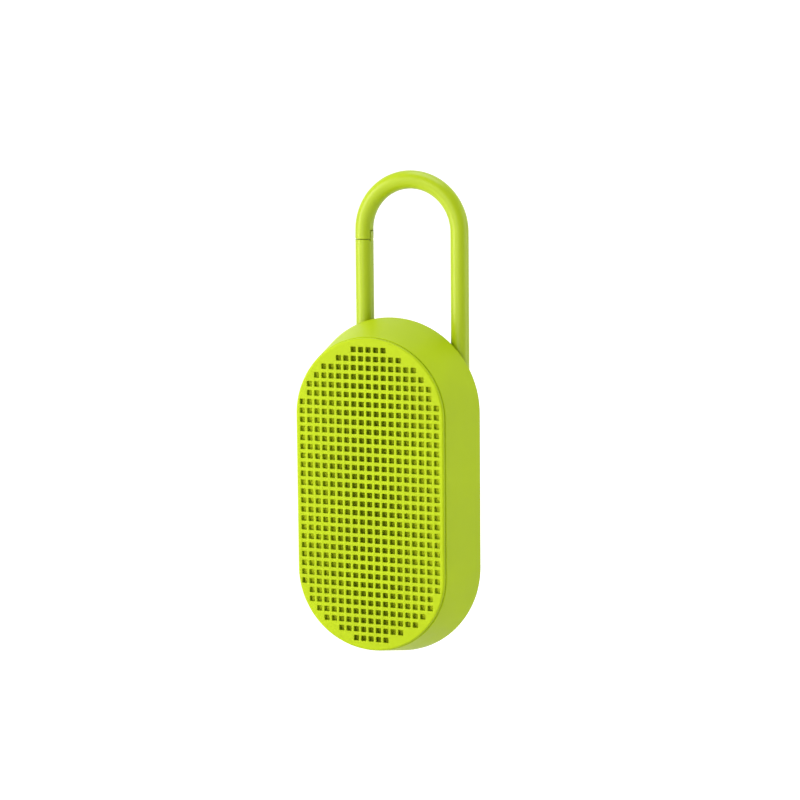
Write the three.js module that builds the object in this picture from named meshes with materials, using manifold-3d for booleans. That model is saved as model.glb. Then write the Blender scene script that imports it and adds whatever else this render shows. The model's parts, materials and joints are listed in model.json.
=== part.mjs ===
// A pocket-sized splash-proof speaker that hangs from a carabiner loop.
// Millimetres. X to the right, Y from the grille to the back, Z up.
// The origin is the centre of the flat rear face, so the grille faces -Y.
import * as THREE from "three";
import { mergeVertices } from "three/addons/utils/BufferGeometryUtils.js";
import Module from "manifold-3d";

const wasm = await Module();
wasm.setup();

// ---- driving dimensions -------------------------------------------------------------------
const GAP = 0.3; // clearance between neighbouring pieces
const ARC_Z = 23.6; // centres of the body's two round ends, above and below the origin
const ARC_STEPS = 16; // facets along each round end
const ROUND_SIDES = 24; // facets round a small turned piece

const FRONT_Y = -30; // face of the grille
const FRONT_R = 24; // half width of the body at the grille
const WIDEST_Y = -11; // parting line between housing and rear cover
const WIDEST_R = 28.3; // half width of the body at the parting line
const COVER_SLOPE = 0.43; // how fast the rear cover narrows behind the parting line
const FLAT_R = 20.6; // half width of the flat rear face
const WALL = 2.6;
const REAR_WALL = 2.2;
const PANEL_THICKNESS = 1.2;
const PANEL_ROUNDING = 0.8;
const MESH_R = 22.8;
const MESH_THICKNESS = 0.4;
const BAFFLE_FRONT_Y = -27.8;
const BAFFLE_BACK_Y = -25.1;

const COLUMNS = 19;
const ROWS = 33;
const COLUMN_PITCH = 2.423;
const ROW_PITCH = 2.754;
const HOLE_SIZE = 1.66;
const FIELD_R = 22.5; // the grille's holes have their centres inside a smaller stadium
const FIELD_ARC_Z = 22.2;

const SEAL_INNER_R = 26.05;
const SEAL_OUTER_R = 26.65;
const SEAL_HALF_DEPTH = 0.9;

const LOOP_Y = -7; // plane of the carabiner loop
const LOOP_X = 4.8; // its centre line, a little to the right of the body's
const LOOP_R = 15.6; // radius of the rod's centre line over the top
const LOOP_ARC_Z = 77.8;
const ROD_R = 2.8;
const NOSE_Z = 75.2; // where the fixed part of the loop ends and the gate begins
const GATE_TOP_Z = NOSE_Z - 0.4;
const PIVOT_Z = 40.5;
const GATE_X = LOOP_X - LOOP_R;
const SPINE_X = LOOP_X + LOOP_R;
const SPINE_SHOULDER_Z = 29;
const SPIGOT_R = 1.6;
const SPIGOT_FOOT_Z = 18.2;
const PIN_R = 1;
const EYE_R = 2.4; // the gate's foot round the pin
const SPRING_R = 1.75;
const SPRING_WIRE_R = 0.18;
const SPRING_TURNS = 2;
const SPRING_PITCH = 0.48;
const SPRING_START_Y = LOOP_Y - 2.85;
const GATE_SLOT_REACH = 4.6; // how far the gate's slot runs towards the loop's middle

const DRIVER_Z = -20.5;
const DRIVER_HOLE_R = 16.9;
const DRIVER_FLANGE_R = 18;
const DRIVER_SEAT_Y = -23.9; // front of the basket, behind its gasket
const SURROUND_ROLL_R = 1.2;
const SURROUND_THICKNESS = 0.4;
const COIL_R = 5.2;
const MAGNET_R = 10.2;
const PASSIVE_Z = 19.5;
const PASSIVE_HOLE_R = 14.5;
const PASSIVE_FRAME_R = 16.2;

const SCREW_SPOTS = [
  [LOOP_X, 38.5],
  [-17, 1],
  [17, 1],
  [0, -41.7],
];
const COVER_BOSS_R = 3.3;
const HOUSING_BOSS_R = 2.8;
const SCREW_HEAD_R = 2.4;
const SCREW_SHANK_R = 1;
const SCREW_HEAD_TOP_Y = -0.5;
const SCREW_HEAD_BACK_Y = -2.7;
const SCREW_END_Y = -17;

const BATTERY_HALF_WIDTH = 15;
const BATTERY_Y = [-10.5, -4.3];
const BATTERY_Z = [5.5, 31];
const BOARD_FRONT_Y = -9;
const BOARD_BACK_Y = -7.8;
const BOARD_HALF_WIDTH = 17;
const BOARD_TOP_Z = -3.5;
const BOARD_SHOULDER_Z = -29; // where its lower corners begin
const BOARD_BOTTOM_Z = -37.8;
const BOARD_HOLE_R = 1.2;
const BOARD_POSTS = [
  [-13, -8],
  [13, -31],
];
const BUTTON_Z = -20;
const BUTTON_R = 6.2;
const PORT_Z = -33.5;
const PORT_COVER_WIDTH = 14;
const PORT_COVER_TOP_Z = -29;
const PORT_COVER_BOTTOM_Z = -37.4;
const LED_Z = -9.5;
const MICROPHONE_X = 7;
const CONNECTOR_X = 7;

// ---- materials ----------------------------------------------------------------------------
const LIME = [0xb4d426, 0.45, 0];
const LIME_ROD = [0xbfdc2e, 0.4, 0];
const LIME_CLOTH = [0x8c9c1c, 0.95, 0];
const BLACK_RUBBER = [0x1c1c1c, 0.85, 0];
const LIME_RUBBER = [0xa6c624, 0.7, 0];
const STEEL = [0xa8abb0, 0.35, 1];
const DARK_STEEL = [0x55585c, 0.45, 1];
const FERRITE = [0x2c2d30, 0.8, 0];
const PAPER = [0x26272a, 0.9, 0];
const COPPER = [0xb8703a, 0.4, 1];
const BOARD_GREEN = [0x1f5b34, 0.5, 0];
const FOIL = [0x8f98a6, 0.5, 0];
const FOAM = [0x44464a, 1, 0];
const CLEAR = [0xe6efe0, 0.15, 0];
const WHITE_PLASTIC = [0xe4e4de, 0.5, 0];
const RED_WIRE = [0xa82a22, 0.6, 0];

const speaker = new THREE.Group();

// ---- shapes -------------------------------------------------------------------------------
// The closed geometry as a solid that can be cut and joined.
function solid(geometry) {
  const bare = geometry.index ? geometry.toNonIndexed() : geometry.clone();
  bare.deleteAttribute("normal");
  bare.deleteAttribute("uv");
  const merged = mergeVertices(bare, 1e-4);
  const corners = merged.index.array;
  const kept = [];
  for (let i = 0; i < corners.length; i += 3) {
    const [a, b, c] = [corners[i], corners[i + 1], corners[i + 2]];
    if (a !== b && b !== c && c !== a) kept.push(a, b, c);
  }
  return new wasm.Manifold(
    new wasm.Mesh({
      numProp: 3,
      vertProperties: merged.attributes.position.array,
      triVerts: new Uint32Array(kept),
    }),
  );
}

// Adds the solid to the speaker as a named mesh.
function place(name, body, [color, roughness, metalness]) {
  const { vertProperties, triVerts } = body.getMesh();
  const geometry = new THREE.BufferGeometry();
  geometry.setAttribute("position", new THREE.BufferAttribute(new Float32Array(vertProperties), 3));
  geometry.setIndex(new THREE.BufferAttribute(new Uint32Array(triVerts), 1));
  geometry.computeVertexNormals();
  const material = new THREE.MeshStandardMaterial({ color, roughness, metalness });
  const mesh = new THREE.Mesh(geometry, material);
  mesh.name = name;
  speaker.add(mesh);
}

function block([x0, x1], [y0, y1], [z0, z1]) {
  const box = new THREE.BoxGeometry(x1 - x0, y1 - y0, z1 - z0);
  return solid(box.translate((x0 + x1) / 2, (y0 + y1) / 2, (z0 + z1) / 2));
}

// A cylinder along Y.
function drum(radius, [y0, y1], x, z, sides = ROUND_SIDES) {
  const cylinder = new THREE.CylinderGeometry(radius, radius, y1 - y0, sides);
  return solid(cylinder.translate(x, (y0 + y1) / 2, z));
}

// A cylinder along Z.
function post(radius, [z0, z1], x, y, sides = 16) {
  const cylinder = new THREE.CylinderGeometry(radius, radius, z1 - z0, sides);
  return solid(cylinder.rotateX(Math.PI / 2).translate(x, y, (z0 + z1) / 2));
}

// A solid turned about a Y axis from a closed [radius, y] outline that runs anticlockwise.
function turned(outline, z, x = 0, sides = ROUND_SIDES) {
  const points = [...outline, outline[0]].map(([r, y]) => new THREE.Vector2(r, y));
  return solid(new THREE.LatheGeometry(points, sides).translate(x, 0, z));
}

function ring(outer, inner, [y0, y1], z, x = 0) {
  const outline = [
    [inner, y0],
    [outer, y0],
    [outer, y1],
    [inner, y1],
  ];
  return turned(outline, z, x);
}

function stadiumPoints(radius) {
  const points = [];
  for (const side of [1, -1])
    for (let i = 0; i <= ARC_STEPS; i++) {
      const angle = (Math.PI * i) / ARC_STEPS;
      points.push([side * radius * Math.cos(angle), side * (ARC_Z + radius * Math.sin(angle))]);
    }
  return points;
}

// A stadium-shaped solid through [y, radius] sections, from front to back.
function stadiumLoft(sections) {
  const rings = sections.map(([y, radius]) => stadiumPoints(radius).map(([x, z]) => [x, y, z]));
  const count = rings[0].length;
  const first = rings[0];
  const last = rings[rings.length - 1];
  const triangles = [];
  for (let i = 0; i < count; i++) {
    const next = (i + 1) % count;
    triangles.push([0, first[0][1], 0], first[i], first[next]);
    triangles.push([0, last[0][1], 0], last[next], last[i]);
    for (let k = 0; k + 1 < rings.length; k++) {
      const [near, far] = [rings[k], rings[k + 1]];
      triangles.push(near[i], far[i], far[next]);
      triangles.push(near[i], far[next], near[next]);
    }
  }
  const geometry = new THREE.BufferGeometry();
  const positions = new Float32Array(triangles.flat());
  geometry.setAttribute("position", new THREE.BufferAttribute(positions, 3));
  return solid(geometry);
}

function stadiumRing(outer, inner, [y0, y1]) {
  const outside = stadiumLoft([
    [y0, outer],
    [y1, outer],
  ]);
  const inside = stadiumLoft([
    [y0 - 1, inner],
    [y1 + 1, inner],
  ]);
  return outside.subtract(inside);
}

// A round tube along a three.js curve.
function tube(curve, radius, steps, sides) {
  const section = new THREE.Shape();
  for (let i = 0; i < sides; i++) {
    const angle = (2 * Math.PI * i) / sides;
    const at = [radius * Math.cos(angle), radius * Math.sin(angle)];
    if (i) section.lineTo(...at);
    else section.moveTo(...at);
  }
  section.closePath();
  return solid(new THREE.ExtrudeGeometry(section, { steps, extrudePath: curve, curveSegments: 1 }));
}

// ---- body shells --------------------------------------------------------------------------
const housingRadius = (y) =>
  FRONT_R + ((WIDEST_R - FRONT_R) * (y - FRONT_Y)) / (WIDEST_Y - FRONT_Y);

const coverRadius = (y) => WIDEST_R - COVER_SLOPE * (y - WIDEST_Y);

// The rear cover's outer sections, with its rounded back edge.
const COVER_SECTIONS = [
  [WIDEST_Y + GAP / 2, coverRadius(WIDEST_Y + GAP / 2)],
  [-2.4, coverRadius(-2.4)],
  [-1.2, FLAT_R + 2.8],
  [-0.3, FLAT_R + 1.5],
  [0, FLAT_R],
];

// The room inside the rear cover, drawn in by a margin.
function coverRoom(margin) {
  return stadiumLoft([
    [WIDEST_Y - 2, coverRadius(WIDEST_Y) - WALL - margin],
    [WIDEST_Y, coverRadius(WIDEST_Y) - WALL - margin],
    [-4, coverRadius(-4) - WALL - margin],
    [-REAR_WALL - margin, FLAT_R - margin],
  ]);
}

function holesInRow(row) {
  const height = Math.max(0, Math.abs(row) * ROW_PITCH - FIELD_ARC_Z);
  const reach = Math.sqrt(Math.max(0, FIELD_R ** 2 - height ** 2));
  const side = Math.floor(reach / COLUMN_PITCH);
  return Math.min(COLUMNS, 2 * side + 1);
}

// The front plate. Each row of holes is one slot here.
function grillePanel() {
  const back = FRONT_Y + PANEL_THICKNESS;
  let panel = stadiumLoft([
    [FRONT_Y, FRONT_R - PANEL_ROUNDING],
    [FRONT_Y + PANEL_ROUNDING / 3, FRONT_R - PANEL_ROUNDING / 4],
    [FRONT_Y + PANEL_ROUNDING, FRONT_R],
    [back, FRONT_R],
  ]);
  for (let row = -(ROWS - 1) / 2; row <= (ROWS - 1) / 2; row++) {
    const half = ((holesInRow(row) - 1) / 2) * COLUMN_PITCH + HOLE_SIZE / 2;
    const z = row * ROW_PITCH;
    const cut = [z - HOLE_SIZE / 2, z + HOLE_SIZE / 2];
    panel = panel.subtract(block([-half, half], [FRONT_Y - 1, back + 1], cut));
  }
  return panel;
}

function acousticMesh() {
  const y = BAFFLE_FRONT_Y - GAP;
  return stadiumLoft([
    [y - MESH_THICKNESS, MESH_R],
    [y, MESH_R],
  ]);
}

// A groove in a rim for the seal, on the side of the parting line that depth points to.
function sealGroove(depth) {
  const span = depth < 0 ? [WIDEST_Y + depth, WIDEST_Y + 1] : [WIDEST_Y - 1, WIDEST_Y + depth];
  return stadiumRing(SEAL_OUTER_R + 0.25, SEAL_INNER_R - 0.25, span);
}

function frontHousing() {
  const front = FRONT_Y + PANEL_THICKNESS + GAP;
  const rim = WIDEST_Y - GAP / 2;
  const outside = stadiumLoft([
    [front, housingRadius(front)],
    [rim, housingRadius(rim)],
  ]);
  const room = stadiumLoft([
    [BAFFLE_BACK_Y, housingRadius(BAFFLE_BACK_Y) - WALL],
    [rim + 1, housingRadius(rim + 1) - WALL],
  ]);
  const meshPocket = stadiumLoft([
    [front - 1, MESH_R + GAP],
    [BAFFLE_FRONT_Y, MESH_R + GAP],
  ]);
  let housing = outside.subtract(room).subtract(meshPocket);
  const through = [BAFFLE_FRONT_Y - 1, BAFFLE_BACK_Y + 1];
  housing = housing.subtract(drum(DRIVER_HOLE_R, through, 0, DRIVER_Z, 32));
  housing = housing.subtract(drum(PASSIVE_HOLE_R, through, 0, PASSIVE_Z, 32));
  housing = housing.subtract(sealGroove(-SEAL_HALF_DEPTH - GAP));
  for (const [x, z] of SCREW_SPOTS) {
    housing = housing.add(drum(HOUSING_BOSS_R, [BAFFLE_BACK_Y - 0.5, rim], x, z, 16));
    housing = housing.subtract(drum(SCREW_SHANK_R + GAP, [SCREW_END_Y - 2, rim + 1], x, z, 12));
  }
  return housing;
}

// The slot in the cover that the gate swings in.
function gateSlot(foot) {
  const span = [foot, PIVOT_Z + 15];
  const reach = GATE_X + GATE_SLOT_REACH;
  const radius = ROD_R + GAP;
  return post(radius, span, GATE_X, LOOP_Y)
    .add(post(radius, span, reach, LOOP_Y))
    .add(block([GATE_X, reach], [LOOP_Y - radius, LOOP_Y + radius], span));
}

function portRecess() {
  const half = PORT_COVER_WIDTH / 2 + GAP;
  return block([-half, half], [-1.25, 1], [PORT_COVER_BOTTOM_Z - GAP, PORT_COVER_TOP_Z + 0.9]);
}

function rearCover() {
  const inside = [-REAR_WALL - 0.5, 1];
  let cover = stadiumLoft(COVER_SECTIONS).subtract(coverRoom(0));
  for (const [x, z] of SCREW_SPOTS) {
    cover = cover.add(drum(COVER_BOSS_R, [WIDEST_Y + GAP / 2, -1], x, z, 16));
    cover = cover.subtract(drum(SCREW_HEAD_R + GAP, [SCREW_HEAD_BACK_Y - GAP, 1], x, z, 20));
    cover = cover.subtract(drum(SCREW_SHANK_R + GAP, [WIDEST_Y - 1, 1], x, z, 12));
  }
  for (const [x, z] of BOARD_POSTS) {
    cover = cover.add(drum(2.2, [BOARD_BACK_Y + GAP, -1], x, z, 16));
    cover = cover.subtract(drum(BOARD_HOLE_R, [BOARD_BACK_Y, -3], x, z, 12));
  }
  cover = cover.subtract(drum(BUTTON_R + GAP, inside, 0, BUTTON_Z, 32));
  cover = cover.subtract(drum(1.1, inside, 0, LED_Z, 12));
  cover = cover.subtract(drum(0.6, inside, MICROPHONE_X, LED_Z, 12));
  cover = cover.subtract(portRecess());
  cover = cover.subtract(block([-4.8, 4.8], inside, [PORT_Z - 1.9, PORT_Z + 1.9]));
  cover = cover.subtract(sealGroove(SEAL_HALF_DEPTH + GAP));
  cover = cover.subtract(post(ROD_R + GAP, [SPINE_SHOULDER_Z - GAP, 60], SPINE_X, LOOP_Y));
  return cover.subtract(gateSlot(PIVOT_Z - 1));
}

function housingSeal() {
  const span = [WIDEST_Y - SEAL_HALF_DEPTH, WIDEST_Y + SEAL_HALF_DEPTH];
  return stadiumRing(SEAL_OUTER_R, SEAL_INNER_R, span);
}

function rearScrew([x, z]) {
  const head = drum(SCREW_HEAD_R, [SCREW_HEAD_BACK_Y, SCREW_HEAD_TOP_Y], x, z, 20);
  const shank = drum(SCREW_SHANK_R, [SCREW_END_Y, SCREW_HEAD_BACK_Y + 0.5], x, z, 12);
  const socket = [SCREW_HEAD_TOP_Y - 1, 1];
  const crossA = block([x - 1.5, x + 1.5], socket, [z - 0.3, z + 0.3]);
  const crossB = block([x - 0.3, x + 0.3], socket, [z - 1.5, z + 1.5]);
  return head.add(shank).subtract(crossA).subtract(crossB);
}

// ---- carabiner ----------------------------------------------------------------------------
// The rod's centre line: up the right leg, over the top and down to the nose.
class SpineCurve extends THREE.Curve {
  getPoint(t, target = new THREE.Vector3()) {
    const leg = LOOP_ARC_Z - SPINE_SHOULDER_Z;
    const arc = Math.PI * LOOP_R;
    const nose = LOOP_ARC_Z - NOSE_Z;
    const along = t * (leg + arc + nose);
    if (along < leg) return target.set(SPINE_X, LOOP_Y, SPINE_SHOULDER_Z + along);
    if (along > leg + arc) return target.set(GATE_X, LOOP_Y, LOOP_ARC_Z - (along - leg - arc));
    const angle = (along - leg) / LOOP_R;
    const x = LOOP_X + LOOP_R * Math.cos(angle);
    return target.set(x, LOOP_Y, LOOP_ARC_Z + LOOP_R * Math.sin(angle));
  }
}

function carabinerSpine() {
  const rod = tube(new SpineCurve(), ROD_R, 44, 16);
  const spigot = post(SPIGOT_R, [SPIGOT_FOOT_Z, SPINE_SHOULDER_Z + 1], SPINE_X, LOOP_Y, 12);
  const tongueSlot = block(
    [GATE_X - 1.8, GATE_X + 5],
    [LOOP_Y - 1.2, LOOP_Y + 1.2],
    [NOSE_Z - 1, NOSE_Z + 3],
  );
  return rod.add(spigot).subtract(tongueSlot);
}

function carabinerGate() {
  const thickness = [LOOP_Y - 1.6, LOOP_Y + 1.8];
  const rod = post(ROD_R, [PIVOT_Z + 2.5, GATE_TOP_Z], GATE_X, LOOP_Y);
  const blade = block([GATE_X - EYE_R, GATE_X + EYE_R], thickness, [PIVOT_Z, PIVOT_Z + 2.8]);
  const eye = drum(EYE_R, thickness, GATE_X, PIVOT_Z);
  const tongue = block(
    [GATE_X - 1.3, GATE_X + 2.6],
    [LOOP_Y - 0.8, LOOP_Y + 0.8],
    [GATE_TOP_Z - 0.5, NOSE_Z + 2.4],
  );
  const chamfer = new THREE.BoxGeometry(3, 8, 3);
  chamfer.rotateY(-Math.PI / 4);
  chamfer.translate(GATE_X + ROD_R + 1.1, LOOP_Y, GATE_TOP_Z + 0.6);
  return rod
    .subtract(solid(chamfer))
    .add(blade)
    .add(eye)
    .add(tongue)
    .subtract(drum(PIN_R + GAP, [LOOP_Y - 5, LOOP_Y + 5], GATE_X, PIVOT_Z, 16));
}

function gatePin() {
  return drum(PIN_R, [LOOP_Y - 4, LOOP_Y + 3.4], GATE_X, PIVOT_Z, 16);
}

// A torsion spring round the pin, beside the gate's foot.
class SpringCurve extends THREE.Curve {
  getPoint(t, target = new THREE.Vector3()) {
    const turn = t * SPRING_TURNS;
    const x = GATE_X + SPRING_R * Math.cos(2 * Math.PI * turn);
    const z = PIVOT_Z + SPRING_R * Math.sin(2 * Math.PI * turn);
    return target.set(x, SPRING_START_Y + turn * SPRING_PITCH, z);
  }
}

function gateSpring() {
  return tube(new SpringCurve(), SPRING_WIRE_R, 14 * SPRING_TURNS, 6);
}

function hingeBlock() {
  const pocketFoot = PIVOT_Z - ROD_R - 1;
  const outside = block(
    [GATE_X - ROD_R - 1.5, GATE_X + GATE_SLOT_REACH + ROD_R + 1.5],
    [LOOP_Y - 4.3, LOOP_Y + 4.1],
    [pocketFoot - 2, PIVOT_Z + 6],
  );
  const pocket = block(
    [GATE_X - ROD_R - 0.6, GATE_X + GATE_SLOT_REACH + ROD_R + GAP],
    [LOOP_Y - ROD_R - GAP, LOOP_Y + ROD_R + GAP],
    [pocketFoot, PIVOT_Z + 7],
  );
  const bore = drum(PIN_R + GAP, [LOOP_Y - 6, LOOP_Y + 6], GATE_X, PIVOT_Z, 16);
  return outside.intersect(coverRoom(0.5)).subtract(pocket).subtract(bore);
}

function spineBlock() {
  const span = [SPINE_SHOULDER_Z - 7, SPINE_SHOULDER_Z - 0.5];
  const outside = block([SPINE_X - 3.8, SPINE_X + 3.2], [LOOP_Y - 4, LOOP_Y + 3.6], span);
  const bore = post(SPIGOT_R + GAP, [SPIGOT_FOOT_Z, SPINE_SHOULDER_Z], SPINE_X, LOOP_Y, 12);
  return outside.intersect(coverRoom(0.3)).subtract(bore);
}

function spineNut() {
  const top = SPINE_SHOULDER_Z - 7.3;
  const bore = post(SPIGOT_R + GAP, [top - 5, top + 1], SPINE_X, LOOP_Y, 12);
  return post(2.8, [top - 2.5, top], SPINE_X, LOOP_Y, 6).subtract(bore);
}

// ---- driver and passive radiator ----------------------------------------------------------
// The half roll of a surround, standing forward of the plane y.
function halfRoll(middle, y, z) {
  const steps = 6;
  const outer = SURROUND_ROLL_R + SURROUND_THICKNESS;
  const outline = [];
  for (let i = 0; i <= steps; i++) {
    const angle = (Math.PI * i) / steps;
    outline.push([middle - SURROUND_ROLL_R * Math.cos(angle), y - SURROUND_ROLL_R * Math.sin(angle)]);
  }
  for (let i = steps; i >= 0; i--) {
    const angle = (Math.PI * i) / steps;
    outline.push([middle - outer * Math.cos(angle), y - outer * Math.sin(angle)]);
  }
  return turned(outline.reverse(), z);
}

function driverGasket() {
  const back = DRIVER_SEAT_Y - GAP;
  return ring(DRIVER_FLANGE_R, DRIVER_HOLE_R, [back - 0.6, back], DRIVER_Z);
}

function driverBasket() {
  const outline = [
    [14.2, DRIVER_SEAT_Y],
    [DRIVER_FLANGE_R, DRIVER_SEAT_Y],
    [DRIVER_FLANGE_R, DRIVER_SEAT_Y + 1.2],
    [15.2, DRIVER_SEAT_Y + 1.2],
    [11, -18],
    [6, -18],
    [6, -19],
    [10.4, -19],
    [14.2, DRIVER_SEAT_Y + 0.7],
  ];
  return turned(outline, DRIVER_Z);
}

function driverCone() {
  const outline = [
    [5.5, -21.7],
    [12.9, -24.3],
    [12.9, -23.8],
    [5.5, -21.2],
  ];
  return turned(outline, DRIVER_Z);
}

function driverDustCap() {
  const outline = [
    [0, -23.3],
    [3, -22.9],
    [5.1, -21.9],
    [5.1, -21.5],
    [3, -22.3],
    [0, -22.7],
  ];
  return turned(outline, DRIVER_Z);
}

function driverYoke() {
  const outline = [
    [0, -17.6],
    [4.3, -17.6],
    [4.3, -13.1],
    [9.8, -13.1],
    [9.8, -11.9],
    [0, -11.9],
  ];
  return turned(outline, DRIVER_Z);
}

// ---- electronics --------------------------------------------------------------------------
function batteryCell() {
  return block([-BATTERY_HALF_WIDTH, BATTERY_HALF_WIDTH], BATTERY_Y, BATTERY_Z);
}

// Foam between the cell and the cover.
function batteryPad() {
  const half = BATTERY_HALF_WIDTH - 2.5;
  const depth = [BATTERY_Y[1] + GAP, -REAR_WALL - GAP];
  return block([-half, half], depth, [BATTERY_Z[0] + 2.5, BATTERY_Z[1] - 3]);
}

function circuitBoard() {
  const corners = [
    [-BOARD_HALF_WIDTH, BOARD_TOP_Z],
    [-BOARD_HALF_WIDTH, BOARD_SHOULDER_Z],
    [-BOARD_HALF_WIDTH / 2, BOARD_BOTTOM_Z],
    [BOARD_HALF_WIDTH / 2, BOARD_BOTTOM_Z],
    [BOARD_HALF_WIDTH, BOARD_SHOULDER_Z],
    [BOARD_HALF_WIDTH, BOARD_TOP_Z],
  ];
  const outline = new THREE.Shape(corners.map(([x, z]) => new THREE.Vector2(x, z)));
  const plate = new THREE.ExtrudeGeometry(outline, {
    depth: BOARD_BACK_Y - BOARD_FRONT_Y,
    bevelEnabled: false,
  });
  let board = solid(plate.rotateX(Math.PI / 2).translate(0, BOARD_BACK_Y, 0));
  for (const [x, z] of BOARD_POSTS)
    board = board.subtract(drum(BOARD_HOLE_R, [BOARD_FRONT_Y - 1, BOARD_BACK_Y + 1], x, z, 12));
  return board;
}

function boardScrew([x, z]) {
  const head = drum(1.9, [BOARD_FRONT_Y - 1.6, BOARD_FRONT_Y - GAP], x, z, 16);
  return head.add(drum(0.9, [BOARD_FRONT_Y - GAP - 0.5, -4.5], x, z, 12));
}

// Stands the socket on the board with its mouth behind the cover's slot.
function usbSocket() {
  const shell = block([-4.45, 4.45], [BOARD_BACK_Y + GAP, -2.55], [PORT_Z - 1.6, PORT_Z + 1.6]);
  const mouth = block([-4.1, 4.1], [-6.5, 0], [PORT_Z - 1.25, PORT_Z + 1.25]);
  const tongue = block([-3.3, 3.3], [-7, -3], [PORT_Z - 0.35, PORT_Z + 0.35]);
  return shell.subtract(mouth).add(tongue);
}

function tactSwitch() {
  const housing = onBoard(0, BUTTON_Z, [5.2, 5.2], -4.9);
  return housing.subtract(drum(1.6, [-6.6, 0], 0, BUTTON_Z, 16));
}

function powerButton() {
  const cap = drum(BUTTON_R, [-2.6, -0.15], 0, BUTTON_Z, 32);
  const flange = drum(BUTTON_R + 1, [-3.3, -REAR_WALL - GAP], 0, BUTTON_Z, 32);
  const stem = drum(1.5, [-4.1, -3], 0, BUTTON_Z, 16);
  return cap.add(flange).add(stem);
}

function lightPipe() {
  return drum(0.8, [-6.3, -0.1], 0, LED_Z, 12);
}

function portCover() {
  const half = PORT_COVER_WIDTH / 2;
  const flap = block([-half, half], [-0.95, -0.1], [PORT_COVER_BOTTOM_Z, PORT_COVER_TOP_Z]);
  const barrel = new THREE.CylinderGeometry(0.45, 0.45, PORT_COVER_WIDTH, 12);
  barrel.rotateZ(Math.PI / 2).translate(0, -0.55, PORT_COVER_TOP_Z);
  const plug = block([-3.7, 3.7], [-2.1, -0.9], [PORT_Z - 0.8, PORT_Z + 0.8]);
  return flap.add(solid(barrel)).add(plug);
}

function connector(x) {
  return block([x - 2.5, x + 2.5], [-12, BOARD_FRONT_Y - GAP], [-8.5, -4.5]);
}

// A wire through [y, z] points at one x.
function lead(x, points) {
  const curve = new THREE.CatmullRomCurve3(points.map(([y, z]) => new THREE.Vector3(x, y, z)));
  return tube(curve, 0.6, 14, 8);
}

// From the board's connector over the gap to the battery's edge.
function batteryLead() {
  const route = [
    [-10.6, -4.2],
    [-11, -1],
    [-11.2, 2],
    [-9.5, 3.6],
    [-8.5, 4.6],
  ];
  return lead(CONNECTOR_X, route);
}

// From the board's connector forward and down to the driver's basket.
function speakerLead() {
  const route = [
    [-10.6, -4.2],
    [-11.5, -1.5],
    [-15.5, 0.2],
    [-20, -0.2],
    [-21.5, -3.4],
    [-22.2, -5.6],
  ];
  return lead(-CONNECTOR_X, route);
}

// A small box standing on the back of the board.
function onBoard(x, z, [width, height], top) {
  const seat = [BOARD_BACK_Y + GAP, top];
  return block([x - width / 2, x + width / 2], seat, [z - height / 2, z + height / 2]);
}

// ---- assembly -----------------------------------------------------------------------------
place("grille_panel", grillePanel(), LIME);
place("acoustic_mesh", acousticMesh(), LIME_CLOTH);
place("front_housing", frontHousing(), LIME);
place("rear_cover", rearCover(), LIME);
place("housing_seal", housingSeal(), BLACK_RUBBER);
SCREW_SPOTS.forEach((spot, i) => place(`rear_screw_${i + 1}`, rearScrew(spot), STEEL));

place("carabiner_spine", carabinerSpine(), LIME_ROD);
place("carabiner_gate", carabinerGate(), LIME_ROD);
place("gate_pin", gatePin(), STEEL);
place("gate_spring", gateSpring(), STEEL);
place("hinge_block", hingeBlock(), PAPER);
place("spine_block", spineBlock(), DARK_STEEL);
place("spine_nut", spineNut(), STEEL);

place("driver_gasket", driverGasket(), FOAM);
place("driver_basket", driverBasket(), DARK_STEEL);
place("driver_surround", halfRoll(14.9, DRIVER_SEAT_Y - GAP, DRIVER_Z), BLACK_RUBBER);
place("driver_cone", driverCone(), PAPER);
place("driver_dust_cap", driverDustCap(), PAPER);
place("voice_coil", ring(COIL_R, COIL_R - 0.5, [-21.2, -16], DRIVER_Z), COPPER);
place("driver_spider", ring(10.8, COIL_R + GAP, [-20.4, -20], DRIVER_Z), FOAM);
place("driver_top_plate", ring(MAGNET_R, COIL_R + 0.4, [-17.7, -16.7], DRIVER_Z), STEEL);
place("driver_magnet", ring(MAGNET_R, COIL_R + 1, [-16.4, -13.4], DRIVER_Z), FERRITE);
place("driver_yoke", driverYoke(), STEEL);
place("passive_frame", ring(PASSIVE_FRAME_R, 12.9, [-24.8, -23.4], PASSIVE_Z), DARK_STEEL);
place("passive_surround", halfRoll(11.7, -25.1, PASSIVE_Z), BLACK_RUBBER);
place("passive_diaphragm", drum(9.8, [-25.6, -24.6], 0, PASSIVE_Z), PAPER);
place("passive_weight", drum(5, [-24.3, -22.9], 0, PASSIVE_Z), STEEL);

place("battery_cell", batteryCell(), FOIL);
place("battery_pad", batteryPad(), FOAM);
place("circuit_board", circuitBoard(), BOARD_GREEN);
BOARD_POSTS.forEach((spot, i) => place(`board_screw_${i + 1}`, boardScrew(spot), STEEL));
place("bluetooth_shield", onBoard(10.5, BUTTON_Z, [9, 12], -5.6), STEEL);
place("usb_socket", usbSocket(), STEEL);
place("tact_switch", tactSwitch(), BLACK_RUBBER);
place("switch_plunger", drum(1.3, [-5.8, -4.4], 0, BUTTON_Z, 16), WHITE_PLASTIC);
place("power_button", powerButton(), LIME_RUBBER);
place("button_seal", ring(8.9, BUTTON_R + 1.3, [-3.7, -2.5], BUTTON_Z), BLACK_RUBBER);
place("status_led", onBoard(0, LED_Z, [2.2, 1.6], -6.6), CLEAR);
place("light_pipe", lightPipe(), CLEAR);
place("microphone", onBoard(MICROPHONE_X, LED_Z, [3.2, 2.6], -6.4), STEEL);
place("port_cover", portCover(), LIME_RUBBER);
place("battery_connector", connector(CONNECTOR_X), WHITE_PLASTIC);
place("speaker_connector", connector(-CONNECTOR_X), WHITE_PLASTIC);
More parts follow.
